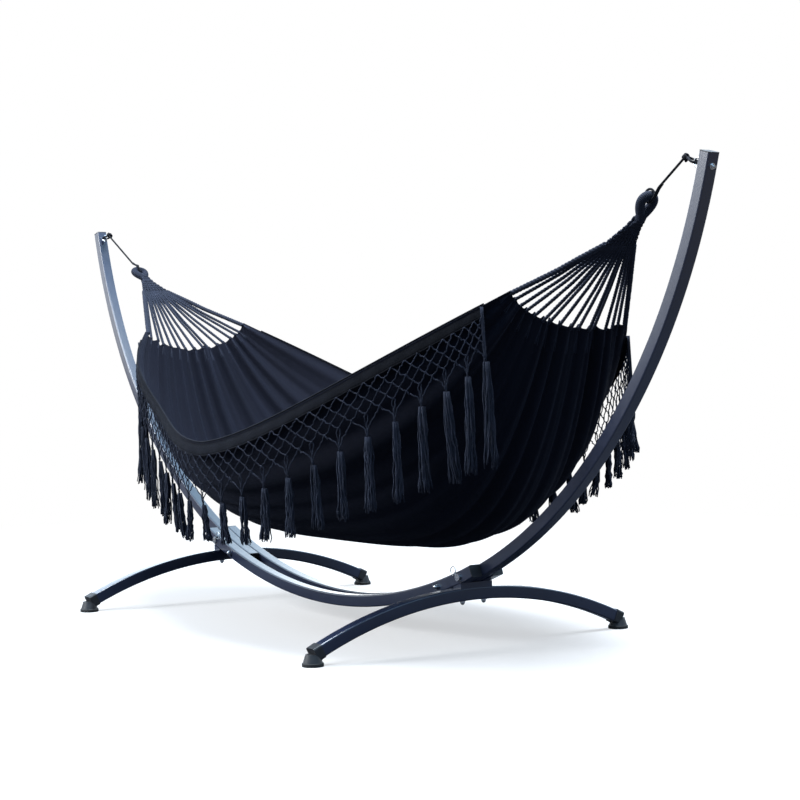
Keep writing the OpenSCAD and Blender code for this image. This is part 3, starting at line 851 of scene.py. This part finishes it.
def rope_path(side):
    """From the knot round the eye, back through the knot, then down and round the end loop."""
    wire, knot, top = eye_wire(side), KNOT[side], loop_top(side)
    away = unit(wire - knot)
    level = np.array([0, 1.0, 0])
    apart = 0.0042
    points = [knot + level * apart, knot + level * apart + away * 0.008]
    for angle in np.linspace(0, math.pi, 15):
        points.append(wire + BIGHT_RADIUS * (level * math.cos(angle) + away * math.sin(angle)))
    points += [knot - level * apart + away * 0.008, knot - level * apart]
    down = unit(top - knot)
    over = np.cross(down, level)
    round_radius = LOOP_BUNDLE + ROPE_RADIUS + 0.0012
    points.append(top - down * 0.045 - level * 0.0034 + over * round_radius * 0.3)
    for angle in np.linspace(-0.35, 2 * math.pi - 0.45, 26):
        shift = mix(-0.0034, 0.0034, (angle + 0.35) / (2 * math.pi - 0.1))
        spoke = over * math.cos(angle) + down * math.sin(angle)
        points.append(top + spoke * round_radius + level * shift)
    points.append(top - down * 0.040 + level * 0.0036 + over * round_radius * 0.25)
    points.append(top - down * 0.058 + level * 0.0036 + over * round_radius * 0.1)
    return dense(points, 0.003)


def wrap(soup, start, finish, radius, wire, turns):
    """A few turns of cord round a rope."""
    axis = unit(finish - start)
    side = unit(np.cross(axis, [0.1, 1, 0.05]))
    other = np.cross(axis, side)
    a = np.linspace(0, turns * 2 * math.pi, turns * 16)
    along = np.linspace(0, 1, len(a))[:, None]
    ring = side * np.cos(a)[:, None] + other * np.sin(a)[:, None]
    soup.tube(start + (finish - start) * along + ring * radius, wire, 8)


def add_rope(side, braid):
    """One cord with the turns that bind it, hung from the eye."""
    path = rope_path(side)
    curve = bpy.data.curves.new(f"{SIDE_NAME[side]}_rope_line", "CURVE")
    curve.dimensions = "3D"
    curve.bevel_depth = ROPE_RADIUS
    curve.bevel_resolution = 4
    curve.use_fill_caps = True
    spline = curve.splines.new("POLY")
    spline.points.add(len(path) - 1)
    spline.points.foreach_set("co", np.c_[path, np.ones(len(path))].ravel())
    curve.materials.append(braid)
    rope = bpy.data.objects.new(f"{SIDE_NAME[side]}_rope_line", curve)
    bpy.context.scene.collection.objects.link(rope)
    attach(rope, "hammock")

    soup = Soup()
    knot, down = KNOT[side], unit(loop_top(side) - KNOT[side])
    away = unit(eye_wire(side) - knot)
    wrap(soup, knot - down * 0.004, knot + down * 0.011, 0.0078, EYE_KNOT_CORD, 3)
    for tilt in (-1, 1):
        a = np.linspace(0, 2 * math.pi, 28, endpoint=False)
        level = np.array([0, 1.0, 0])
        axis = unit(np.cross(level, down) + tilt * 0.5 * down)
        ring = knot + EYE_KNOT_RADIUS * (level * np.cos(a)[:, None] + axis * np.sin(a)[:, None])
        soup.tube(ring + away * 0.001, EYE_KNOT_CORD, 8, closed=True)
    bindings = soup.build(f"{SIDE_NAME[side]}_rope_bindings", braid, "hammock")
    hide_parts(f"{SIDE_NAME[side]}_rope")
    tuple(mix(knot, eye_wire(side), 0.35))
    return rope


# ---------- stand ----------


def rounded_ring(size, corner, steps=4):
    """Outline of the tube's section, centred, as (out, across) pairs."""
    half = size / 2 - corner
    ring = []
    for k, (sx, sy) in enumerate(((1, 1), (-1, 1), (-1, -1), (1, -1))):
        for step in range(steps + 1):
            a = math.pi / 2 * (k + step / steps)
            ring.append((sx * half + corner * math.cos(a), sy * half + corner * math.sin(a)))
    return np.array(ring)


def arc_sweep(name, node, radius, low, high, centre, paint, side=1, turned=False):
    """A square tube with round corners along an arc in the XZ plane, or in YZ when turned."""
    steps = max(24, int(abs(high - low) * 1.6))
    section = rounded_ring(TUBE, CORNER)
    rings = []
    for angle in np.linspace(low, high, steps + 1):
        out = arc_point(1.0, angle)
        rings.append(out * radius + section[:, :1] * out + section[:, 1:] * np.array([0, 1, 0]))
    points = np.concatenate(rings)
    if turned:
        points = np.stack([-points[:, 1], points[:, 0], points[:, 2]], -1)
    points = points + np.asarray(centre)
    faces = [f[::-1] for f in tube_faces(steps + 1, len(section), False)]
    if side < 0:
        points[:, 0] *= -1
        faces = [f[::-1] for f in faces]
    soup = Soup()
    soup.add(points, faces)
    obj = soup.build(name, paint, "stand")
    for polygon in obj.data.polygons:
        if len(polygon.vertices) > 4:
            polygon.use_smooth = False
    obj.modifiers.new("flat_faces", "WEIGHTED_NORMAL").keep_sharp = True
    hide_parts(node)
    return obj


def add_stand(paint):
    """The two rails, the two arms between them and the two arched legs."""
    rail_end = math.degrees(math.asin(RAIL_HALF_LENGTH / RAIL_RADIUS))
    leg_end = math.degrees(math.asin(LEG_HALF_SPAN / LEG_RADIUS))
    for side in (-1, 1):
        centre = (0, side * RAIL_Y, RAIL_LOW + RAIL_RADIUS)
        name = f"{EDGE_NAME[side]}_rail"
        arc_sweep(f"{name}_tube", name, RAIL_RADIUS, -rail_end, rail_end, centre, paint)
    for side in (-1, 1):
        name = f"{SIDE_NAME[side]}_arm"
        centre = (ARM_CENTRE_X, 0, ARM_CENTRE_Z)
        low, high = ARM_LOW_ANGLE, ARM_TOP_ANGLE
        arc_sweep(f"{name}_tube", name, ARM_RADIUS, low, high, centre, paint, side)
        name = f"{SIDE_NAME[side]}_leg"
        centre = (LEG_X, 0, LEG_HIGH - LEG_RADIUS)
        low, high = 180 - leg_end, 180 + leg_end
        arc_sweep(f"{name}_tube", name, LEG_RADIUS, low, high, centre, paint, side, True)


def finish_cad_nodes(materials):
    """Gives each carried-over CAD node the material of its record slot."""
    for part in frame["record"]["subparts"]:
        obj = frame["nodes"][part["node"]]
        for place in range(len(obj.material_slots)):
            obj.material_slots[place].material = materials[part["material_slot"]]


# ---------- studio ----------


def add_studio(floor):
    """White floor, a key light from the front left, a blue-white one overhead and the world."""
    mesh = bpy.data.meshes.new("floor")
    corners = [(x * FLOOR_HALF_SIZE, y * FLOOR_HALF_SIZE, 0) for x, y in ((-1, -1), (1, -1), (1, 1), (-1, 1))]
    mesh.from_pydata(corners, [], [(0, 1, 2, 3)])
    mesh.materials.append(floor)
    plane = bpy.data.objects.new("floor", mesh)
    bpy.context.scene.collection.objects.link(plane)

    def area(name, where, aim, size, energy, colour):
        data = bpy.data.lights.new(name, "AREA")
        data.shape = "DISK"
        data.size = size
        data.energy = energy
        data.color = colour
        light = bpy.data.objects.new(name, data)
        light.location = where
        light.rotation_euler = (Vector(aim) - Vector(where)).to_track_quat("-Z", "Y").to_euler()
        bpy.context.scene.collection.objects.link(light)

    area("key", (-2.5, -5.0, 3.6), (0, 0, 0.6), 3.0, 430, (0.97, 0.99, 1.0))
    area("top", (0.9, 0.3, 6.5), (-0.2, 0, 0.4), 4.0, 900, (0.88, 0.94, 1.0))
    bpy.context.scene.world = studio_world()
    bpy.context.scene.view_settings.view_transform = "Standard"


def studio_world():
    """Bright behind the stand and blue overhead; the background itself is white."""
    world = bpy.data.worlds.new("studio")
    world.use_nodes = True
    nodes, links = world.node_tree.nodes, world.node_tree.links
    where = nodes.new("ShaderNodeTexCoord")
    split = nodes.new("ShaderNodeSeparateXYZ")
    links.new(where.outputs["Generated"], split.inputs["Vector"])

    behind = nodes.new("ShaderNodeVectorMath")
    behind.operation = "DOT_PRODUCT"
    behind.inputs[1].default_value = (-0.83, 0.56, 0)
    links.new(where.outputs["Generated"], behind.inputs[0])
    around = nodes.new("ShaderNodeValToRGB")
    ends = around.color_ramp.elements
    ends[0].position, ends[0].color = 0.0, (0.05, 0.065, 0.10, 1)
    ends[1].position, ends[1].color = 1.0, (0.95, 0.98, 1.0, 1)
    shift = nodes.new("ShaderNodeMapRange")
    shift.inputs["From Min"].default_value = -0.2
    links.new(behind.outputs["Value"], shift.inputs["Value"])
    links.new(shift.outputs["Result"], around.inputs["Fac"])

    overhead = nodes.new("ShaderNodeMix")
    overhead.data_type = "RGBA"
    links.new(split.outputs["Z"], overhead.inputs["Factor"])
    links.new(around.outputs["Color"], overhead.inputs["A"])
    overhead.inputs["B"].default_value = (0.45, 0.72, 1.0, 1)

    path = nodes.new("ShaderNodeLightPath")
    boost = nodes.new("ShaderNodeMapRange")
    boost.inputs["To Min"].default_value = 1.0
    boost.inputs["To Max"].default_value = 2.6
    links.new(path.outputs["Is Glossy Ray"], boost.inputs["Value"])
    links.new(boost.outputs["Result"], nodes["Background"].inputs["Strength"])
    blend = nodes.new("ShaderNodeMix")
    blend.data_type = "RGBA"
    links.new(path.outputs["Is Camera Ray"], blend.inputs["Factor"])
    links.new(overhead.outputs["Result"], blend.inputs["A"])
    blend.inputs["B"].default_value = (1, 1, 1, 1)
    links.new(blend.outputs["Result"], nodes["Background"].inputs["Color"])
    return world


# ---------- build ----------

add_camera()
braid = string_material("hanging_rope", (0.0045, 0.0045, 0.0055), (0.011, 0.011, 0.013))
for end in (1, -1):
    add_rope(end, braid)

paint = paint_material()
cloth = cloth_material("cotton_cloth", 1.0)
# The hem and its seams use a copy of the cotton cloth darkened to 0.3: painted shade against the key light
# that falls on the hem
hem_cloth_painted_shade = cloth_material("hem_cloth_painted_shade", 0.3)
yarn = string_material("cotton_string", (0.011, 0.0135, 0.022), (0.030, 0.036, 0.058))
materials = {
    "frame_paint": paint,
    "bright_steel": steel_material(),
    "black_plastic": plastic_material(),
    "black_rubber": rubber_material(),
    "cotton_cloth": cloth,
    "cotton_string": yarn,
    "hanging_rope": braid,
}
finish_cad_nodes(materials)
add_stand(paint)

bed = add_bed(cloth)
trim = []
for side in (-1, 1):
    trim += add_hem(side, hem_cloth_painted_shade)
    trim.append(add_net(side, yarn))
    trim.append(add_tassels(side, yarn))
for end in (1, -1):
    add_strings(end, yarn)
    add_weave(end, yarn)
    add_end_loop(end, yarn)

add_studio(floor_material())
